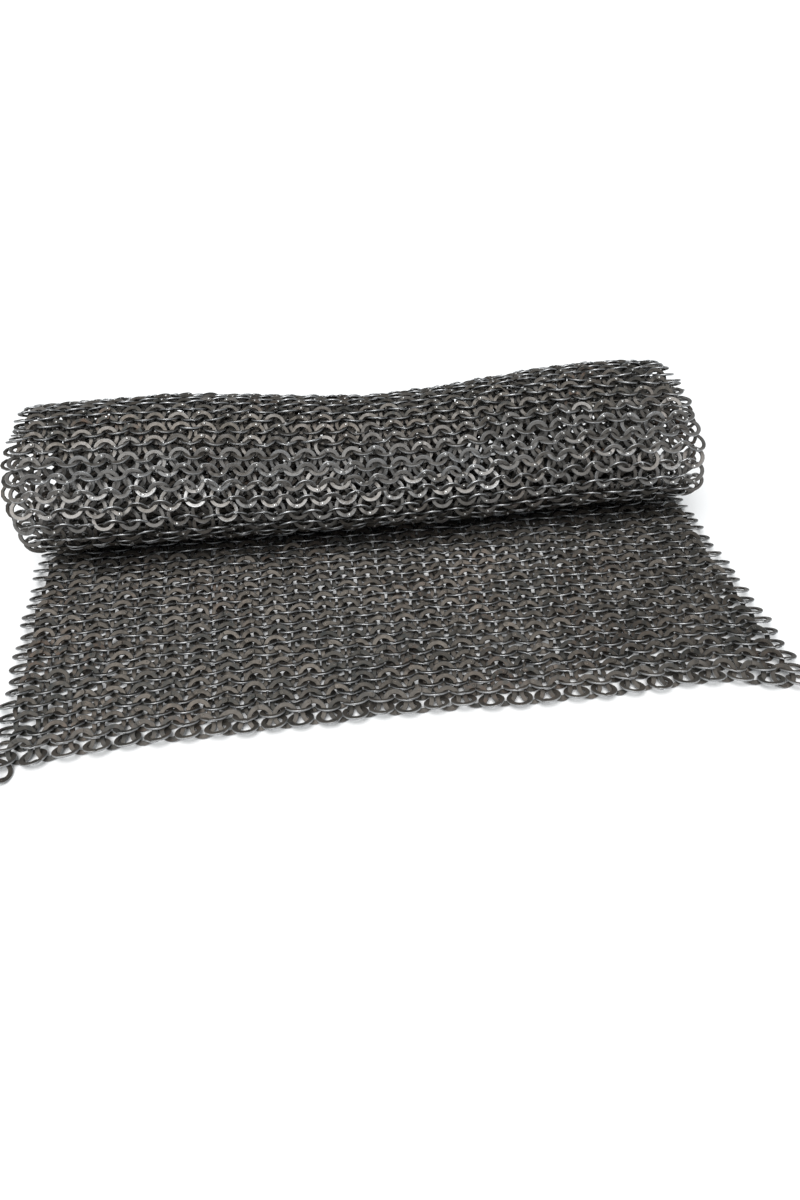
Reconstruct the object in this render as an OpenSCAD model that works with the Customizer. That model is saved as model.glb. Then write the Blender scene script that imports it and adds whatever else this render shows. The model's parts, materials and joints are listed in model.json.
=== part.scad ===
// Riveted flat-ring mail sheet, part rolled up.
// The sheet lies along +Y from its front hem, turns up at the back and rolls
// forward over itself about X. Every hinge between two bands runs along X.
// Bands are plain stand-ins for woven rows; hem, edge and loose rings are real.

/* [Ring] */
// Outside diameter of one ring
ring_od = 12.4; // [12.2:0.1:12.5]
// Width of the flattened wire, seen face on
wire_w = 2; // [1.7:0.1:2]
// Thickness of the flattened wire
wire_t = 1; // [0.9:0.1:1]
// Tilt of a ring out of the sheet, alternate rows opposite ways
ring_tilt = 28; // [27:0.5:29]

/* [Rivet] */
// Diameter of the rivet's shank
rivet_d = 0.9; // [0.7:0.1:1]
// Diameter of the rivet's domed head
head_d = 1.6; // [1.3:0.1:1.6]
// Height of the head above the ring
head_h = 0.5; // [0.3:0.1:0.5]

/* [Weave] */
// Spacing of the rings along a row
ring_pitch = 13.65; // [13.5:0.05:13.8]
// Spacing of the rows
row_pitch = 3.95; // [3.9:0.05:4]
// Spacing of the rows in the roll, where the weave is drawn open
roll_pitch = 4.2; // [4.1:0.1:4.2]
// Rings in an even row, the front row among them; odd rows have one ring less
rings_across = 29; // [28:1:34]
// Tilt of the front row's rings, which have sunk on to the ground
hem_tilt = 22; // [21:0.5:24]
// Distance by which the front row is pushed back under the next
hem_tuck = 1.15; // [1.15:0.05:1.2]

/* [Bands] */
// Rows in one band of the apron and of the outer turn
wide_rows = 3; // [3:1:3]
// Rows in one band of the tight inner turns
tight_rows = 2; // [2:1:2]
// Number of hinged bands in the apron, hem included
apron_bands = 9; // [6:1:10]
// Rows under the roll, in one band
seat_rows = 14; // [13:1:15]
// Number of bands in the outer turn
outer_bands = 19; // [19:1:19]
// Number of bands in the inner turns
inner_bands = 24; // [12:1:26]
// Gap between neighbouring bands
band_gap = 0.3; // [0.2:0.1:0.5]
// Largest upward fold at one apron hinge
apron_fold = 14; // [8:1:14]

/* [Roll] */
// Mean radius of the sheet where the roll starts
roll_radius = 48.5; // [48:0.5:49]
// Loss of radius in one full turn
turn_gap = 13; // [13:0.5:13.5]
// Flattening of the roll where it starts, fading to nothing inside
roll_oval = 8.5; // [8:0.5:9]
// Turns over which the flattening fades
roll_turns = 2.4; // [2.4:0.05:2.6]

/* [Loose rings] */
// Ring of the front row that lies loose, further out than the rest, counted from the left
loose_column = 23; // [2:1:27]
// How much further out it lies
loose_out = 0.8; // [0.6:0.1:0.8]

/* [Hidden] */
$fn = 48;

ring_r = ring_od / 2;
wire_mid_r = ring_r - wire_w / 2;
sheet_t = 2 * (ring_r * sin(ring_tilt) + wire_t / 2 * cos(ring_tilt));
sheet_w = (rings_across - 1) * ring_pitch + ring_od;

// The slab of a band stops short of the edge rings on both sides
edge_gap = 0.4;
slab_w = sheet_w - 2 * (ring_od + edge_gap);

hem_rows = 2;
flat_rows = apron_bands * wide_rows + seat_rows;
roll_rows = outer_bands * wide_rows + inner_bands * tight_rows;
roll_bands = outer_bands + inner_bands;

// The front row lies on the ground, so its rings' centres are this far below mid thickness
hem_sink = sheet_t / 2 - ring_r * sin(hem_tilt) - wire_t / 2 * cos(hem_tilt);
hem_y = row_pitch / 2 + hem_tuck;

// Length of a tilted ring along the sheet, from its centre
ring_reach = ring_r * cos(ring_tilt) + wire_t / 2 * sin(ring_tilt);

// Place and lean of the corner ring against the first hem ring, in which it
// hangs; its lowest point touches the ground
corner_offset = [0.1, -7];
corner_tilt = [5.7, 34.2];
corner_up = cos(corner_tilt[0]) * cos(corner_tilt[1]);
corner_along = sin(corner_tilt[0]) * cos(corner_tilt[1]);
corner_z = ring_r * sqrt(1 - pow(corner_up, 2)) + wire_t / 2 * corner_up;

// The loose ring of the front row lies flatter than its neighbours
loose_tilt = -17.5;
loose_z = 3.03;

// Rivets stand on the free front or rear stretch of a ring, by turns
rivet_swing = 24;

// Radius of curvature at tangent angle phi, in degrees from the flat
function bend_radius(phi) = roll_radius - turn_gap * phi / 360
    + 3 * roll_oval * (1 - phi / (360 * roll_turns)) * cos(2 * phi);
function row_turn(phi) = roll_pitch / bend_radius(phi) * 180 / PI;

// Tangent angle at the middle of each row of the roll
row_angle = [
    for (j = 0, phi = 0; j < roll_rows; phi = phi + row_turn(phi), j = j + 1)
        phi + row_turn(phi) / 2
];

function band_rows(k) = k < outer_bands ? wide_rows : tight_rows;
function first_row(k) = min(k, outer_bands) * wide_rows + max(0, k - outer_bands) * tight_rows;
function mean(v) = v * [for (x = v) 1] / len(v);

// Angle and length of every band of the roll
band_angle = [
    for (k = [0 : roll_bands - 1])
        mean([for (j = [0 : band_rows(k) - 1]) row_angle[first_row(k) + j]])
];
band_length = [for (k = [0 : roll_bands - 1]) band_rows(k) * roll_pitch];

// Hinge lines of the roll in the section, at mid thickness: [y, z]
hinge = [
    for (
        k = 0, p = [flat_rows * row_pitch, sheet_t / 2];
        k <= roll_bands;
        p = p + (k < roll_bands ? band_length[k] * [cos(band_angle[k]), sin(band_angle[k])] : [0, 0]),
        k = k + 1
    ) p
];

// The origin lies under the middle of the whole object, whose front limit is
// that of the corner ring
front_y = hem_y + corner_offset[1] - ring_r * sqrt(1 - pow(corner_along, 2)) - wire_t / 2 * corner_along;
back_y = max([
    for (k = [0 : roll_bands - 1])
        for (s = [0, band_length[k]])
            hinge[k][0] + s * cos(band_angle[k]) + sheet_t / 2 * sin(band_angle[k])
]);
origin = [sheet_w / 2, (front_y + back_y) / 2, 0];

function two_digits(n) = str(n < 10 ? "0" : "", n);
apron_names = [for (k = [2 : apron_bands]) str("apron_band_", two_digits(k))];
outer_names = [for (k = [1 : outer_bands]) str("outer_band_", two_digits(k))];
inner_names = [for (k = [1 : inner_bands]) str("inner_band_", two_digits(k))];

steel = [0.33, 0.31, 0.29];
dark_steel = [0.27, 0.25, 0.24];
bright_steel = [0.45, 0.44, 0.43];

// ---- one ring and its rivet ----

// Centre of a ring across the sheet; odd rows start half a pitch further in
function ring_x(row, column) = ring_r + (column + (row % 2) / 2) * ring_pitch;
function rings_in(row) = rings_across - row % 2;
function row_tilt(row) = row == 0 ? -hem_tilt : row % 2 == 0 ? -ring_tilt : ring_tilt;

// Angle round the ring at which it is lapped and riveted
function rivet_angle(row, column) =
    (column % 2 == 0 ? 90 : 270) + rivet_swing * sin(70 * column + 130 * row);

module ring_blank() {
    difference() {
        cylinder(h = wire_t, d = ring_od, center = true);
        cylinder(h = 2 * wire_t, d = ring_od - 2 * wire_w, center = true);
    }
}

module ring_with_hole(angle) {
    difference() {
        ring_blank();
        rotate([0, 0, angle]) translate([wire_mid_r, 0, 0])
            cylinder(h = 2 * wire_t, d = rivet_d + 0.1, center = true);
    }
}

// A domed head under the ring and a shank flush with its upper face
module rivet(angle) {
    dome_r = (pow(head_d / 2, 2) + pow(head_h, 2)) / (2 * head_h);
    rotate([0, 0, angle]) translate([wire_mid_r, 0, 0]) {
        union() {
            translate([0, 0, -wire_t / 2]) cylinder(h = wire_t, d = rivet_d);
            translate([0, 0, -wire_t / 2]) difference() {
                translate([0, 0, dome_r - head_h]) sphere(r = dome_r);
                translate([-head_d, -head_d, 0]) cube([2 * head_d, 2 * head_d, 2 * dome_r]);
            }
        }
    }
}

// Puts a ring or rivet at its place in a flat stretch of weave
module at_ring(row, column, along, sink = 0) {
    translate([ring_x(row, column), along, -sink]) rotate([row_tilt(row), 0, 0]) children();
}

// Puts a ring or rivet at its place in one of the two rows of the hem
module at_hem_ring(row, column) {
    front = row == 0;
    at_ring(row, column, (row + 0.5) * row_pitch + (front ? hem_tuck : 0), front ? hem_sink : 0)
        children();
}

// ---- bands ----

// Slab of a band along +Y from its first hinge line. Its upper corners are cut
// back by half the fold at either hinge, so neighbours meet when folded.
module slab(length, fold_start, fold_end, start = 0) {
    half = sheet_t / 2;
    translate([ring_od + edge_gap, 0, 0]) rotate([90, 0, 90])
        linear_extrude(height = slab_w) polygon([
            [start + band_gap / 2, -half],
            [length - band_gap / 2, -half],
            [length - band_gap / 2, 0],
            [length - band_gap / 2 - half * tan(fold_end / 2), half],
            [start + band_gap / 2 + half * tan(fold_start / 2), half],
            [start + band_gap / 2, 0]
        ]);
}

// Rings that stand out of the sheet on both sides: the ends of the even rows
module edge_rings(row0, rows, pitch) {
    for (j = [0 : rows - 1])
        if ((row0 + j) % 2 == 0)
            for (column = [0, rings_across - 1])
                at_ring(row0 + j, column, (j + 0.5) * pitch) ring_blank();
}

module flat_band(row0, rows, fold_start, fold_end, start = 0) {
    translate([0, row0 * row_pitch, sheet_t / 2]) {
        slab(rows * row_pitch, fold_start, fold_end, start);
        edge_rings(row0, rows, row_pitch);
    }
}

// Band k of the apron, counted from the hem
module apron_band(k) {
    // The first slab reaches forward to the real rings of the hem
    start = k == 2 ? (hem_rows - 0.5) * row_pitch + ring_reach + band_gap - wide_rows * row_pitch : 0;
    color(steel) flat_band((k - 1) * wide_rows, wide_rows, apron_fold, apron_fold, start);
}

module seat_band() {
    color(steel) flat_band(apron_bands * wide_rows, seat_rows, apron_fold, band_angle[0]);
}

module roll_band(k) {
    fold_start = band_angle[k] - (k == 0 ? 0 : band_angle[k - 1]);
    fold_end = k == roll_bands - 1 ? 0 : band_angle[k + 1] - band_angle[k];
    color(k < outer_bands ? dark_steel : steel)
        translate([0, hinge[k][0], hinge[k][1]]) rotate([band_angle[k], 0, 0]) {
            slab(band_length[k], fold_start, fold_end);
            edge_rings(flat_rows + first_row(k), band_rows(k), roll_pitch);
        }
}

// ---- hem and loose rings ----

function is_loose(row, column) = row == 0 && column == loose_column;

module hem_rings() {
    color(bright_steel) translate([0, 0, sheet_t / 2])
        for (row = [0 : hem_rows - 1]) for (column = [0 : rings_in(row) - 1])
            if (!is_loose(row, column))
                at_hem_ring(row, column) ring_with_hole(rivet_angle(row, column));
}

module hem_rivets() {
    color(bright_steel) translate([0, 0, sheet_t / 2])
        for (row = [0 : hem_rows - 1]) for (column = [0 : rings_in(row) - 1])
            if (!is_loose(row, column))
                at_hem_ring(row, column) rivet(rivet_angle(row, column));
}

// A ring caught in the first hem ring only, leaning on the ground before it
module corner_ring() {
    color(bright_steel)
        translate([ring_x(0, 0) + corner_offset[0], hem_y + corner_offset[1], corner_z])
            rotate([corner_tilt[0], 0, 0]) rotate([0, corner_tilt[1], 0]) ring_blank();
}

module loose_hem_ring() {
    color(bright_steel) translate([ring_x(0, loose_column), hem_y - loose_out, loose_z])
        rotate([loose_tilt, 0, 0]) ring_blank();
}

// ---- assembly ----

translate(-origin) {
    hem_rings();
    hem_rivets();
    corner_ring();
    loose_hem_ring();
    seat_band();
    for (k = [2 : apron_bands])
        apron_band(k);
    for (k = [0 : outer_bands - 1])
        roll_band(k);
    for (k = [0 : inner_bands - 1])
        roll_band(outer_bands + k);
}
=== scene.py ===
"""Looks of a riveted mail sheet, part rolled up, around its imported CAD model.

Every ring of the weave is a mesh of its own shape: a flattened wire whose two
ends lap and are riveted. The rings of a band are one piece on that band's body.
"""

import json
import math

import bpy
import numpy as np
from mathutils import Matrix, Vector

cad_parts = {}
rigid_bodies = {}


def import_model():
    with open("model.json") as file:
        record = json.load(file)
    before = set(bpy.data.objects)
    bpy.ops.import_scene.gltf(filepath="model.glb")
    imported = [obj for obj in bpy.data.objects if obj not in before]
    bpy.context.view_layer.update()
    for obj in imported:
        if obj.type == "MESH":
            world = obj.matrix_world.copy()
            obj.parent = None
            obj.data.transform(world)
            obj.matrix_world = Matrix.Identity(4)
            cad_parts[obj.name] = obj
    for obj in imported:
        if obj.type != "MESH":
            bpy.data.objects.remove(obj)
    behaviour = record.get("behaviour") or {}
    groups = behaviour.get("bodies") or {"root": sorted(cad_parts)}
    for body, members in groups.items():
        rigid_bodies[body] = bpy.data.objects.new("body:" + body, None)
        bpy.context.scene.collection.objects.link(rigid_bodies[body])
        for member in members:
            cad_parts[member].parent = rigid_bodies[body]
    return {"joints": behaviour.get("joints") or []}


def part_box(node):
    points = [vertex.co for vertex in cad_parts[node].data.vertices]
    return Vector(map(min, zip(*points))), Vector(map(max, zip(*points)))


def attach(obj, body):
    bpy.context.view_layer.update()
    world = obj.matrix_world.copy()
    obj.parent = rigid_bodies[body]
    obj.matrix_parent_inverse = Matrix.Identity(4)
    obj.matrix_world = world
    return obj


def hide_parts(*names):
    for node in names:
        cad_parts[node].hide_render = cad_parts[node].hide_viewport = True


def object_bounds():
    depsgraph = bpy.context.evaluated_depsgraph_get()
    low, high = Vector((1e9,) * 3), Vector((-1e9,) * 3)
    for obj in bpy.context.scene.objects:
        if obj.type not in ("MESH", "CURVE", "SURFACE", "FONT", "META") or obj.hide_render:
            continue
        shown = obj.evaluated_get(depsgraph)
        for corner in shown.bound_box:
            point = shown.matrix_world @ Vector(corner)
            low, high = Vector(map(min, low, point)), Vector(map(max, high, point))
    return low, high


MM = 0.001
DEG = math.pi / 180

# Sizes of the ring and of the weave, as in the CAD source
RING_R = 6.2 * MM
WIRE_W = 2.0 * MM
WIRE_T = 1.0 * MM
WIRE_MID_R = RING_R - WIRE_W / 2
RING_TILT = 28 * DEG
OPEN_TILT = 25 * DEG
RING_PITCH = 13.65 * MM
ROW_PITCH = 3.95 * MM
ROLL_PITCH = 4.2 * MM
RINGS_ACROSS = 29
RIVET_SWING = 24 * DEG
HEM_TILT = 22 * DEG
HEM_TUCK = 1.15 * MM
LOOSE_COLUMN = 23

# Random errors of single rings, as standard deviations
ALONG_ERROR = 0.28 * MM
SIDE_ERROR = 0.3 * MM
LIFT_ERROR = 0.1 * MM
TILT_ERROR = 3.0 * DEG
ROLL_ERROR = 3.0 * DEG
YAW_ERROR = 3.5 * DEG
OVAL_ERROR = 0.012
WARP_ERROR = 0.07 * MM
SQUASH_ERROR = 0.05
LOOSE_TILT = 3.0 * DEG
LOOSE_ROLL = 2.5 * DEG

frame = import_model()
cad_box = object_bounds()


# ---- section of the sheet, from the hinges ----


class Band:
    """One rigid band of rows: its body, its first hinge line and its direction in the Y-Z plane."""

    def __init__(self, body, start, end, first_row):
        self.body = body
        self.start = start
        self.chord = end - start
        self.length = float(np.hypot(*self.chord))
        self.in_roll = "outer" in body or "inner" in body
        self.pitch = ROLL_PITCH if self.in_roll else ROW_PITCH
        self.rows = round(self.length / self.pitch)
        self.first_row = first_row
        self.angle = math.atan2(self.chord[1], self.chord[0])
        self.bend = 0.0

    def place(self, s):
        """Point and angle of the sheet's middle line at distance s along the band."""
        along = self.chord / self.length
        up = np.array([-along[1], along[0]])
        curve = self.bend / self.length
        rise = -curve * s * (self.length - s) / 2
        return self.start + along * s + up * rise, self.angle + curve * (s - self.length / 2)


def numbered(stem, first, last):
    return [f"{stem}_{k:02d}" for k in range(first, last + 1)]


def sheet_bands():
    """All bands from the hem to the inner end of the roll."""
    order = (
        ["hem"] + numbered("apron_band", 2, 9) + ["seat"]
        + numbered("outer_band", 1, 19) + numbered("inner_band", 1, 24)
    )
    hinge = {frozenset((j["parent"], j["child"])): j for j in frame["joints"]}
    joints = [hinge[frozenset(pair)] for pair in zip(order, order[1:])]
    points = [np.array(j["pos_m"][1:]) for j in joints]
    points.insert(0, points[0] - [3 * ROW_PITCH, 0])
    last = points[-1] - points[-2]
    turn = joints[-1]["range_deg"][1] * DEG
    c, s = math.cos(turn), math.sin(turn)
    last = np.array([[c, -s], [s, c]]) @ last / np.hypot(*last) * 2 * ROLL_PITCH
    points.append(points[-1] + last)
    bands, row, along = [], 0, 0.0
    for body, start, end in zip(order, points, points[1:]):
        bands.append(Band(body, start, end, row))
        bands[-1].first_s = along
        row += bands[-1].rows
        along += bands[-1].length
    angle = np.unwrap([b.angle for b in bands])
    for i, band in enumerate(bands):
        band.angle = angle[i]
        if band.in_roll:
            after = angle[min(i + 1, len(bands) - 1)]
            band.bend = (after - angle[i - 1]) / 2
    return bands


# ---- one ring and its rivet ----


def strand_stations(steps):
    """Stations along the wire of a lapped ring, in degrees from the rivet.

    Each has its angle, half width and half thickness in millimetres, and lift of the lap."""
    head = [
        (-19, 0.48, 0.22, 1), (-13, 1.0, 0.25, 1), (0, 1.22, 0.27, 1), (10, 1.16, 0.28, 1),
        (20, 1.06, 0.33, 0.62), (31, 1.0, 0.5, 0),
    ]
    tail = [(360 - a, w, t, -lift) for a, w, t, lift in reversed(head)]
    body = [(a, 1.0, 0.5, 0) for a in np.linspace(31, 329, steps + 2)[1:-1]]
    return np.array(head + body + tail)


# Sections of the wire: place across and through it, and how worn it is there
SECTION_8 = np.array([
    (0.8, 1, 0.3), (1, 0.6, 0.95), (1, -0.6, 0.95), (0.8, -1, 0.3),
    (-0.8, -1, 0.1), (-1, -0.6, 0.4), (-1, 0.6, 0.4), (-0.8, 1, 0.1),
])
CRISP_8 = (0, 3, 4, 7)
SECTION_6 = np.array([
    (0.75, 1, 0.3), (1.04, 0, 1), (0.75, -1, 0.3), (-0.75, -1, 0.1), (-1.04, 0, 0.4), (-0.75, 1, 0.1),
])
CRISP_6 = (0, 2, 3, 5)
LAP_LIFT = 0.28 * MM


def cap_quads(n, base):
    """Quads that close a section of n points, which is even."""
    return [[base + k, base + k + 1, base + n - 2 - k, base + n - 1 - k] for k in range(n // 2 - 1)]


def tube_faces(stations, n):
    """Quads of an open tube with closed ends, stations of n points each."""
    faces = []
    for i in range(stations - 1):
        for k in range(n):
            a, b = i * n + k, i * n + (k + 1) % n
            faces.append([a, b, b + n, a + n])
    faces += [q[::-1] for q in cap_quads(n, 0)]
    faces += cap_quads(n, (stations - 1) * n)
    return np.array(faces)


class RingShape:
    """Template of a ring: stations and section, which rings() turns into meshes."""

    def __init__(self, steps, section, crisp):
        self.stations = strand_stations(steps)
        self.section = section
        self.crisp = np.isin(np.arange(len(section)), crisp)
        self.faces = tube_faces(len(self.stations), len(section))

    def points(self, ring):
        """Vertices of n rings in their own frames, from their numbers; shape (n, points, 3)."""
        rivet, lap, oval, oval_at, warp, broad = (
            ring[key] for key in ("rivet", "lap", "oval", "oval_at", "warp", "broad")
        )
        angle, half_w, half_t, lift = (self.stations.T)[:, None, :, None]
        across, through = self.section.T[:2][:, None, None, :]
        n = len(rivet)
        theta = rivet[:, None, None] + angle * DEG + 0 * across
        squeeze = 1 + oval[:, None, None] * np.cos(2 * theta + oval_at[:, None, None])
        radius = WIRE_MID_R * squeeze + half_w * across * broad[:, None, None] * MM
        z = half_t * through * MM + lift * lap[:, None, None] * LAP_LIFT
        z = z + warp[:, None, None] * np.cos(2 * theta + 1.3 * oval_at[:, None, None])
        xyz = np.stack([radius * np.cos(theta), radius * np.sin(theta), z], -1)
        return xyz.reshape(n, -1, 3)

    def wear(self):
        """Wear at each vertex, most on the rims."""
        return np.tile(self.section[:, 2], len(self.stations))


class RivetShape:
    """Template of a rivet: a turned profile from its domed head to its upper end."""

    PROFILE = np.array([
        (0.2, -1.02), (0.52, -0.95), (0.76, -0.78), (0.82, -0.54), (0.45, -0.5), (0.45, 0.56), (0.3, 0.64),
    ]) * MM
    PLAIN = np.array([(0.25, -1.0), (0.72, -0.82), (0.78, -0.54), (0.42, 0.6)]) * MM
    HEAD_TOP = -1.02 * MM
    WORN_DEPTH = 0.6 * MM

    def __init__(self, profile, sides=8):
        turn = np.arange(sides) * 2 * math.pi / sides
        self.base = np.array([
            (r * math.cos(t), r * math.sin(t), z) for r, z in profile for t in turn
        ])
        self.faces = tube_faces(len(profile), sides)
        depth = np.repeat(profile[:, 1], sides) - self.HEAD_TOP
        self.tops = (1 - depth / self.WORN_DEPTH).clip(0, 1)

    def points(self, rivet, squash):
        """Vertices of n rivets in their rings' own frames; shape (n, points, 3)."""
        n = len(rivet)
        base = np.repeat(self.base[None], n, 0).copy()
        base[:, :, 0] *= 1 + squash[:, None]
        base[:, :, 1] *= 1 - squash[:, None]
        base[:, :, 0] += WIRE_MID_R
        return turned(base, rivet, 2)


def turned(points, angle, axis):
    """Points of shape (n, k, 3) turned about a coordinate axis by n angles."""
    a, b = [(1, 2), (2, 0), (0, 1)][axis]
    c, s = np.cos(angle)[:, None], np.sin(angle)[:, None]
    out = points.copy()
    out[:, :, a] = points[:, :, a] * c - points[:, :, b] * s
    out[:, :, b] = points[:, :, a] * s + points[:, :, b] * c
    return out


# The inner rings of the roll hardly show, so they have fewer stations and points
FULL_RING = RingShape(17, SECTION_8, CRISP_8)
PLAIN_RING = RingShape(9, SECTION_6, CRISP_6)
FULL_RIVET = RivetShape(RivetShape.PROFILE)
PLAIN_RIVET = RivetShape(RivetShape.PLAIN, 6)


# ---- meshes ----


def mesh_object(name, points, faces, look, material, crisp=None):
    """A piece from n copies of a template: points (n, k, 3), faces of one copy and look (n, k, 3).

    Edges along the wire are sharp at the points of its section that are marked crisp."""
    n, k = points.shape[:2]
    quads = (faces[None] + (np.arange(n) * k)[:, None, None]).reshape(-1, 4)
    me = bpy.data.meshes.new(name)
    me.vertices.add(n * k)
    me.vertices.foreach_set("co", points.reshape(-1).astype(np.float32))
    me.loops.add(quads.size)
    me.loops.foreach_set("vertex_index", quads.reshape(-1).astype(np.int32))
    me.polygons.add(len(quads))
    me.polygons.foreach_set("loop_start", (np.arange(len(quads)) * 4).astype(np.int32))
    me.update(calc_edges=True)
    me.shade_smooth()
    if crisp is not None:
        ends = np.empty(len(me.edges) * 2, np.int32)
        me.edges.foreach_get("vertices", ends)
        ends = ends.reshape(-1, 2) % k % len(crisp)
        sharp = me.attributes.new("sharp_edge", "BOOLEAN", "EDGE")
        sharp.data.foreach_set("value", (ends[:, 0] == ends[:, 1]) & crisp[ends[:, 0]])
    colour = me.attributes.new("look", "FLOAT_COLOR", "POINT")
    rgba = np.ones((n * k, 4), np.float32)
    rgba[:, :3] = look.reshape(-1, 3)
    colour.data.foreach_set("color", rgba.reshape(-1))
    me.materials.append(material)
    obj = bpy.data.objects.new(name, me)
    bpy.context.scene.collection.objects.link(obj)
    return obj


# ---- the weave ----

SHEET_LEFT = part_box("hem_rings")[0].x
GROUND = cad_box[0].z
SHEET_W = (RINGS_ACROSS - 1) * RING_PITCH + 2 * RING_R


def ring_x(row, column):
    """Centre of a ring across the sheet; odd rows start half a pitch further in."""
    return SHEET_LEFT + RING_R + (column + (row % 2) / 2) * RING_PITCH


def ring_reach_down(tilt):
    """Distance from the centre of a tilted ring to its lowest point."""
    return RING_R * np.sin(np.abs(tilt)) + WIRE_T / 2 * np.cos(tilt)


def hem_rivet_angle(row, column):
    """Angle of the rivet in the two rows that the CAD model holds ring by ring."""
    side = np.where(column % 2 == 0, 90, 270) * DEG
    return side + RIVET_SWING * np.sin((70 * column + 130 * row) * DEG)


def swell(t, middle, reach):
    """Smooth hill of height 1 at the middle, gone at the given reach."""
    return 0.5 + 0.5 * np.cos(np.clip((t - middle) / reach, -1, 1) * math.pi)


# Shift of the sheet's side edges, in millimetres, at distances from the hem
EDGE_S = [0, 0.025, 0.06, 0.1, 0.14, 0.2, 0.26, 0.32, 0.38, 0.44]
LEFT_EDGE = [7, 4, 1, -2, -4, -1, 1, 3, 2, -6]
RIGHT_EDGE = [3, 2.5, 3, 2, 1, -6, -12, -14, -5, -5]

ROW_PHASE = np.random.default_rng(17).uniform(0, 2 * math.pi, 200)
ROW_DRIFT = 0.95 * MM


def row_drift(x, row):
    """Sideways play of each row against its neighbours, which varies slowly along the row."""
    u = (x - SHEET_LEFT) / SHEET_W
    phase = ROW_PHASE[row]
    swing = np.sin(phase + 2 * math.pi * u * (0.7 + 1.6 * (phase / 7)))
    return ROW_DRIFT * swing * (row > 1)


def row_wave(x, s):
    """Shift of a ring along the sheet and across it, smooth over the sheet."""
    u = (x - SHEET_LEFT) / SHEET_W
    v = s / 0.17
    near_hem = np.exp(-s / 0.05)
    along = 0.7 * np.sin(9.1 * u + 2.6 * v) + 0.5 * np.sin(23.0 * u - 4.0 * v + 1.0)
    along = along + near_hem * (3.6 * swell(u, 0.47, 0.2) - 1)
    corners = 5.5 * swell(u, 0.04, 0.13) + 8 * swell(u, 1, 0.12)
    along = along - corners * near_hem
    across = 0.35 * np.sin(5.0 * v + 3.0 * u) + 0.2 * np.sin(17.0 * v)
    across = across + 1.8 * near_hem * np.sin(9.6 * u - 0.8)
    left = np.interp(s, EDGE_S, LEFT_EDGE)
    right = np.interp(s, EDGE_S, RIGHT_EDGE)
    across = across + left * (1 - u) + right * u
    return along * MM, across * MM


def front_wear_and_highlight(band):
    """How much a band's rings are painted brighter, from 0 to 1: most on the upper front of the roll. This
    is partly real wear and partly painted highlight where the roll faces the light.
    """
    if "outer" not in band.body:
        return 0.0
    turn = band.angle / DEG
    return float(np.clip((turn - 195) / 25, 0, 1) * np.clip((305 - turn) / 45, 0, 1))


def looseness(band):
    """How freely the rings of a band lie, from 0 to 1: most on the lower front of the roll."""
    if "outer" not in band.body:
        return 0.0
    turn = band.angle / DEG
    return float(np.clip((turn - 150) / 60, 0, 1) * np.clip((400 - turn) / 60, 0, 1))


def dented(yz, x):
    """The roll's section pressed down in its middle, by a share of its height above the ground."""
    u = (x - SHEET_LEFT) / SHEET_W
    share = 0.035 - 0.14 * swell(u, 0.54, 0.35) - 0.03 * swell(u, 1, 0.1)
    return yz * np.stack([np.ones_like(share), 1 + share], -1)


def ring_tone_with_painted_light(rng, n, band, wear_and_painted_light):
    """Tone of n rings, from dark to light, at random; painted light raises it on the upper front of the
    roll, and painted shade lowers it on the rest of the roll.
    """
    # Painted shade: the roll is darker away from its upper front
    shaded = 0.1 * (band.in_roll and wear_and_painted_light == 0)
    return rng.uniform(0.1, 0.8, n) + 0.5 * wear_and_painted_light - shaded


def ring_bright_wear_and_highlight(rng, n, wear_and_painted_light):
    """How bright n rings are: a few stand out as worn at random, and most of them on the roll's upper
    front, where real wear and painted highlight are laid on together.
    """
    bright = rng.random(n) < 0.06 + 0.7 * wear_and_painted_light
    return np.where(bright, rng.uniform(0.1, 0.48, n), 0.1) * (0.25 + 0.75 * wear_and_painted_light)


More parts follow.
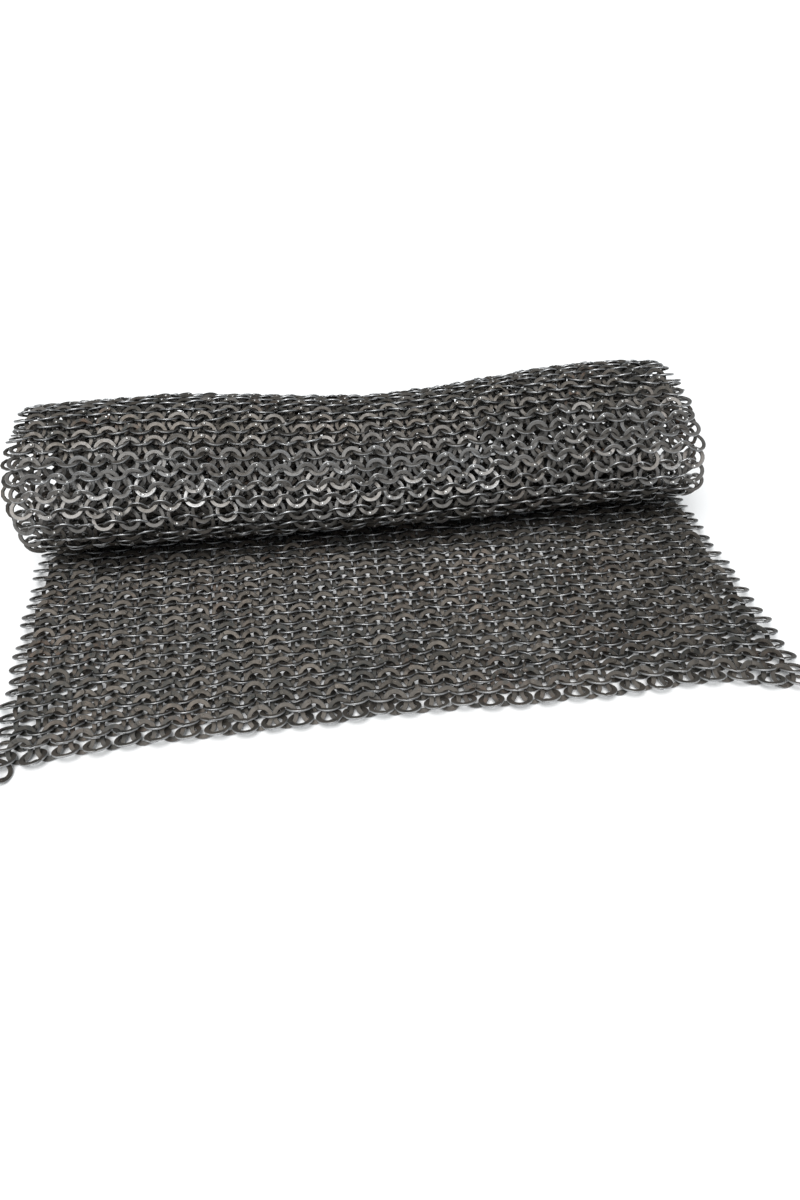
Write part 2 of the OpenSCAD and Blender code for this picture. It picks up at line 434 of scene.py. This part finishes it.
def band_rings(band, seed):
    """Numbers of every ring of a band, as arrays in a dictionary."""
    rng = np.random.default_rng(seed)
    rows = np.repeat(np.arange(band.rows), RINGS_ACROSS)
    column = np.tile(np.arange(RINGS_ACROSS), band.rows)
    row = rows + band.first_row
    kept = (row % 2 == 0) | (column < RINGS_ACROSS - 1)
    kept &= (row > 0) | (column != LOOSE_COLUMN)
    rows, column, row = rows[kept], column[kept], row[kept]
    n = len(row)
    # Share of real wear and painted highlight on the roll's upper front
    loose, wear_and_painted_light = looseness(band), front_wear_and_highlight(band)
    front = row == 0
    s = (rows + 0.5) * band.pitch + np.where(front, HEM_TUCK, 0)
    x = ring_x(row, column)
    along, across = row_wave(x, band.first_s + s)
    placed = [band.place(v) for v in s + along + rng.normal(0, ALONG_ERROR, n)]
    side = np.where(rng.random(n) < 0.5, 90, 270) * DEG
    tilt = OPEN_TILT if band.in_roll else np.where(front, HEM_TILT, RING_TILT)
    tilt = tilt + rng.normal(0, TILT_ERROR + LOOSE_TILT * loose, n)
    yz = np.array([p for p, _ in placed])
    if band.in_roll:
        yz = dented(yz, x)
    else:
        yz[:, 1] = GROUND + ring_reach_down(tilt) + np.abs(rng.normal(0, LIFT_ERROR, n))
    ring = {
        "n": n,
        "row": row,
        "column": column,
        "x": x + across + row_drift(x, row) + rng.normal(0, SIDE_ERROR, n),
        "yz": yz,
        "lean": np.array([a for _, a in placed]),
        "tilt": np.where(row % 2 == 0, -tilt, tilt),
        "roll": rng.normal(0, ROLL_ERROR + LOOSE_ROLL * loose, n),
        "yaw": rng.normal(0, YAW_ERROR, n),
        "rivet": side + rng.uniform(-1, 1, n) * RIVET_SWING,
        "lap": np.where(rng.random(n) < 0.5, 1.0, -1.0),
        "oval": rng.normal(0, OVAL_ERROR, n),
        "oval_at": rng.uniform(0, 2 * math.pi, n),
        "warp": rng.normal(0, WARP_ERROR, n),
        "broad": rng.uniform(*((1.0, 1.16) if band.in_roll else (1.1, 1.28)), n),
        "squash": rng.normal(0, SQUASH_ERROR, n),
        # Tone holds painted light and shade on the roll, and the next value bright wear with painted
        # highlight
        "tone": ring_tone_with_painted_light(rng, n, band, wear_and_painted_light),
        "bright_wear_and_highlight": ring_bright_wear_and_highlight(rng, n, wear_and_painted_light),
    }
    hem = row < 2
    ring["rivet"][hem] = hem_rivet_angle(row[hem], column[hem])
    return ring


def set_in_sheet(points, ring):
    """Points in the rings' own frames, moved to the rings' places."""
    p = turned(points, ring["yaw"], 2)
    p = turned(p, ring["roll"], 1)
    p = turned(p, ring["tilt"] + ring["lean"], 0)
    p[:, :, 0] += ring["x"][:, None]
    p[:, :, 1] += ring["yz"][:, 0][:, None]
    p[:, :, 2] += ring["yz"][:, 1][:, None]
    return p


def look_of(ring, wear):
    """Tone of each ring, with painted light and shade on the roll, wear at each of its points and the
    ring's bright wear with painted highlight, for the material.
    """
    look = np.empty((ring["n"], len(wear), 3))
    look[:, :, 0] = ring["tone"][:, None]
    look[:, :, 1] = wear[None]
    look[:, :, 2] = ring["bright_wear_and_highlight"][:, None]
    return look


# ---- materials ----

# Colours of the steel: its face, its darkest and palest patches, worn metal, which also serves as painted
# highlight, and rust
FACE = (0.083, 0.074, 0.064)
DARK = (0.018, 0.023, 0.024)
PALE = (0.125, 0.111, 0.096)
BARE = (0.36, 0.365, 0.37)
RUST = (0.095, 0.048, 0.028)


def node(tree, kind, inputs=(), **settings):
    made = tree.nodes.new(kind)
    for key, value in settings.items():
        setattr(made, key, value)
    for key, value in dict(inputs).items():
        if isinstance(value, bpy.types.NodeSocket):
            tree.links.new(value, made.inputs[key])
        else:
            made.inputs[key].default_value = value
    return made


def ramp(tree, fac, stops):
    made = node(tree, "ShaderNodeValToRGB", {"Fac": fac})
    elements = made.color_ramp.elements
    while len(elements) < len(stops):
        elements.new(0.5)
    for element, (position, colour) in zip(elements, stops):
        element.position = position
        element.color = (*colour, 1) if isinstance(colour, tuple) else (colour, colour, colour, 1)
    return made.outputs["Color"]


def mixed(tree, fac, a, b):
    made = node(tree, "ShaderNodeMix", data_type="RGBA")
    for key, value in (("Factor", fac), ("A", a), ("B", b)):
        socket = [i for i in made.inputs if i.name == key and (key == "Factor" or i.type == "RGBA")][0]
        if isinstance(value, bpy.types.NodeSocket):
            tree.links.new(value, socket)
        else:
            socket.default_value = value if key == "Factor" else (*value, 1)
    return [o for o in made.outputs if o.type == "RGBA"][0]


def maths(tree, operation, a, b=0.0, clamp=False):
    made = node(tree, "ShaderNodeMath", {0: a, 1: b}, operation=operation, use_clamp=clamp)
    return made.outputs[0]


def noise(tree, place, scale, detail, roughness=0.5):
    """Fac of a noise texture, about 0.5 on average."""
    inputs = {"Vector": place, "Scale": scale, "Detail": detail, "Roughness": roughness}
    return node(tree, "ShaderNodeTexNoise", inputs).outputs["Fac"]


def steel(name, face, gloss, metal=0.85, pale=PALE, bare=BARE):
    """Oiled, worn steel: dark face, brighter worn rims, brown patches and fine grain. The look's third
    channel lays bare metal on worn bright rings and, on the roll's front, as painted highlight.
    """
    mat = bpy.data.materials.new(name)
    mat.use_nodes = True
    tree = mat.node_tree
    shader = tree.nodes["Principled BSDF"]
    look = node(tree, "ShaderNodeAttribute", attribute_name="look")
    parts = node(tree, "ShaderNodeSeparateColor", {"Color": look.outputs["Color"]})
    tone, wear, bright_wear_and_highlight = parts.outputs
    place = node(tree, "ShaderNodeTexCoord").outputs["Object"]
    patches = noise(tree, place, 330.0, 3.0, 0.6)
    grain = noise(tree, place, 2100.0, 2.0, 0.7)
    wide = noise(tree, place, 26.0, 2.0)
    spread = maths(tree, "MULTIPLY", tone, 0.5)
    shade = maths(tree, "ADD", maths(tree, "MULTIPLY", patches, 0.7), spread)
    face_colour = ramp(tree, shade, [(0.2, DARK), (0.55, face), (0.9, pale)])
    brown = maths(
        tree, "MULTIPLY",
        ramp(tree, wide, [(0.5, 0.0), (0.7, 1.0)]),
        ramp(tree, patches, [(0.45, 0.0), (0.62, 1.0)]),
    )
    rusty = ramp(tree, tone, [(0.0, 1.0), (0.06, 1.0), (0.12, 0.4), (0.5, 0.25)])
    face_colour = mixed(tree, maths(tree, "MULTIPLY", brown, rusty), face_colour, RUST)
    uneven = maths(tree, "SUBTRACT", grain, 0.5)
    # Rim wear, grain, worn bright rings and painted highlight together decide where bare metal shows
    wear_and_highlight_sum = maths(tree, "ADD", wear, maths(tree, "MULTIPLY", uneven, 1.2))
    wear_and_highlight_sum = maths(tree, "ADD", wear_and_highlight_sum, bright_wear_and_highlight)
    wear_and_painted_light = ramp(tree, wear_and_highlight_sum, [(0.5, 0.0), (1.1, 1.0)])
    colour = mixed(tree, wear_and_painted_light, face_colour, bare)
    tree.links.new(colour, shader.inputs["Base Color"])
    rough = maths(tree, "SUBTRACT", gloss, maths(tree, "MULTIPLY", wear_and_painted_light, 0.18))
    rough = maths(tree, "ADD", rough, maths(tree, "MULTIPLY", uneven, 0.3), clamp=True)
    tree.links.new(rough, shader.inputs["Roughness"])
    bump = node(tree, "ShaderNodeBump", {"Height": grain, "Strength": 0.35, "Distance": 0.2 * MM})
    tree.links.new(bump.outputs["Normal"], shader.inputs["Normal"])
    shader.inputs["Metallic"].default_value = metal
    return mat


def scaled(colour, share):
    return tuple(c * share for c in colour)


APRON_STEEL = steel("apron_steel", scaled(FACE, 0.72), 0.5)
ROLL_STEEL = steel("roll_steel", scaled(FACE, 1.07), 0.46, pale=(0.195, 0.187, 0.178))
INNER_STEEL = steel("inner_steel", FACE, 0.5)
HEM_STEEL = steel("hem_steel", FACE, 0.55, metal=0.5)
LOOSE_STEEL = steel("loose_steel", scaled(FACE, 1.3), 0.45)
RIVET_STEEL = steel("rivet_steel", scaled(FACE, 1.4), 0.34, bare=(0.62, 0.62, 0.61))


# ---- pieces ----


def band_look(band):
    """Material and slot of a band's rings, and the CAD node that they stand for."""
    if band.body == "hem":
        return HEM_STEEL, "hem_steel", "hem_rings"
    if band.body == "seat":
        return APRON_STEEL, "apron_mail", "seat_band"
    if "apron" in band.body:
        return APRON_STEEL, "apron_mail", band.body
    if "inner" in band.body:
        return INNER_STEEL, "inner_mail", band.body
    return ROLL_STEEL, "roll_mail", band.body


def rivet_wear(band, rivet_shape):
    """Wear of a band's rivets, most on the tops of their heads and more in the roll."""
    if band.in_roll:
        return 0.3 + 0.5 * rivet_shape.tops
    return 0.1 + 0.25 * rivet_shape.tops


def weave_band(band, seed):
    """The rings and the rivets of one band, riding on its body."""
    inner = "inner" in band.body
    shape, rivet_shape = (PLAIN_RING, PLAIN_RIVET) if inner else (FULL_RING, FULL_RIVET)
    ring = band_rings(band, seed)
    points = shape.points(ring)
    heads = rivet_shape.points(ring["rivet"], ring["squash"])
    material, slot, stood_for = band_look(band)
    rings = mesh_object(
        f"{band.body}_rows", set_in_sheet(points, ring), shape.faces,
        look_of(ring, shape.wear()), material, shape.crisp,
    )
    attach(rings, band.body)
    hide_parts(stood_for)
    rivets = mesh_object(
        f"{band.body}_rivets", set_in_sheet(heads, ring), rivet_shape.faces,
        look_of(ring, rivet_wear(band, rivet_shape)), RIVET_STEEL,
    )
    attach(rivets, band.body)
    if band.body == "hem":
        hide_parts("hem_rivets")


def loose_ring(node_name, tilt, roll, rivet, seed):
    """A ring that hangs in one hem ring only, with its rivet, at its CAD node's place."""
    low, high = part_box(node_name)
    centre = (low + high) / 2
    along, across = row_wave(centre.x, ROW_PITCH / 2)
    rng = np.random.default_rng(seed)
    ring = {
        "n": 1,
        "x": np.array([centre.x + across]),
        "yz": np.array([[centre.y + along, centre.z]]),
        "lean": np.zeros(1),
        "tilt": np.array([tilt * DEG]),
        "roll": np.array([roll * DEG]),
        "yaw": np.zeros(1),
        "rivet": np.array([rivet * DEG]),
        "lap": np.ones(1),
        "oval": np.array([0.012]),
        "oval_at": np.zeros(1),
        "warp": np.array([0.04 * MM]),
        "broad": np.ones(1),
        "squash": np.zeros(1),
        "tone": rng.random(1),
        "bright_wear_and_highlight": np.zeros(1),
    }
    points = FULL_RING.points(ring)
    heads = FULL_RIVET.points(ring["rivet"], ring["squash"])
    blank = mesh_object(
        f"{node_name}_strand", set_in_sheet(points, ring), FULL_RING.faces,
        look_of(ring, FULL_RING.wear()), LOOSE_STEEL, FULL_RING.crisp,
    )
    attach(blank, node_name)
    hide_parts(node_name)
    head = mesh_object(
        f"{node_name}_rivet", set_in_sheet(heads, ring), FULL_RIVET.faces,
        look_of(ring, 0.3 + 0.5 * FULL_RIVET.tops), RIVET_STEEL,
    )
    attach(head, node_name)


for index, band in enumerate(sheet_bands()):
    weave_band(band, 4100 + index)
loose_ring("corner_ring", 5.7, 34.2, 300, 71)
loose_ring("loose_hem_ring", -17.5, 0, 250, 72)


# ---- studio ----


def floor():
    """A plain white floor, 16 m across, at the sheet's lowest point."""
    size = 8.0
    me = bpy.data.meshes.new("floor")
    z = GROUND
    me.from_pydata(
        [(-size, -size, z), (size, -size, z), (size, size, z), (-size, size, z)], [], [(0, 1, 2, 3)]
    )
    obj = bpy.data.objects.new("floor", me)
    bpy.context.scene.collection.objects.link(obj)
    mat = bpy.data.materials.new("paper")
    mat.use_nodes = True
    shader = mat.node_tree.nodes["Principled BSDF"]
    shader.inputs["Base Color"].default_value = (0.92, 0.92, 0.92, 1)
    shader.inputs["Roughness"].default_value = 0.8
    me.materials.append(mat)


def world_light():
    """Even light from all round. The camera sees it brighter, as a plain white backdrop."""
    world = bpy.data.worlds.new("studio")
    bpy.context.scene.world = world
    world.use_nodes = True
    tree = world.node_tree
    background = tree.nodes["Background"]
    background.inputs["Color"].default_value = (0.93, 0.975, 1.0, 1)
    seen = node(tree, "ShaderNodeLightPath").outputs["Is Camera Ray"]
    light, seen_brighter = 0.5, 0.65
    strength = maths(tree, "ADD", maths(tree, "MULTIPLY", seen, seen_brighter), light)
    tree.links.new(strength, background.inputs["Strength"])


def key_light():
    """A very wide soft light from high above, a little to the front and the left."""
    data = bpy.data.lights.new("key_light", "SUN")
    data.energy = 2.9
    data.angle = 50 * DEG
    lamp = bpy.data.objects.new("key_light", data)
    lamp.rotation_euler = Vector((0.2, 0.4, -0.95)).to_track_quat("-Z", "Y").to_euler()
    bpy.context.scene.collection.objects.link(lamp)


def camera():
    """The photograph's viewpoint: about 42 degrees above the horizon, just left of the middle."""
    data = bpy.data.cameras.new("camera")
    data.sensor_width = 36
    data.lens = 23.31
    data.clip_start = 0.01
    obj = bpy.data.objects.new("camera", data)
    right = Vector((0.9931, -0.1143, -0.02616)).normalized()
    back = Vector((-0.06785, -0.74211, 0.66683))
    back = (back - right * back.dot(right)).normalized()
    up = back.cross(right)
    turn = Matrix((right, up, back)).transposed()
    obj.matrix_world = Matrix.Translation((-0.02099, -0.34601, 0.29129)) @ turn.to_4x4()
    bpy.context.scene.collection.objects.link(obj)
    bpy.context.scene.camera = obj


floor()
world_light()
key_light()
camera()
bpy.context.scene.view_settings.view_transform = "Standard"
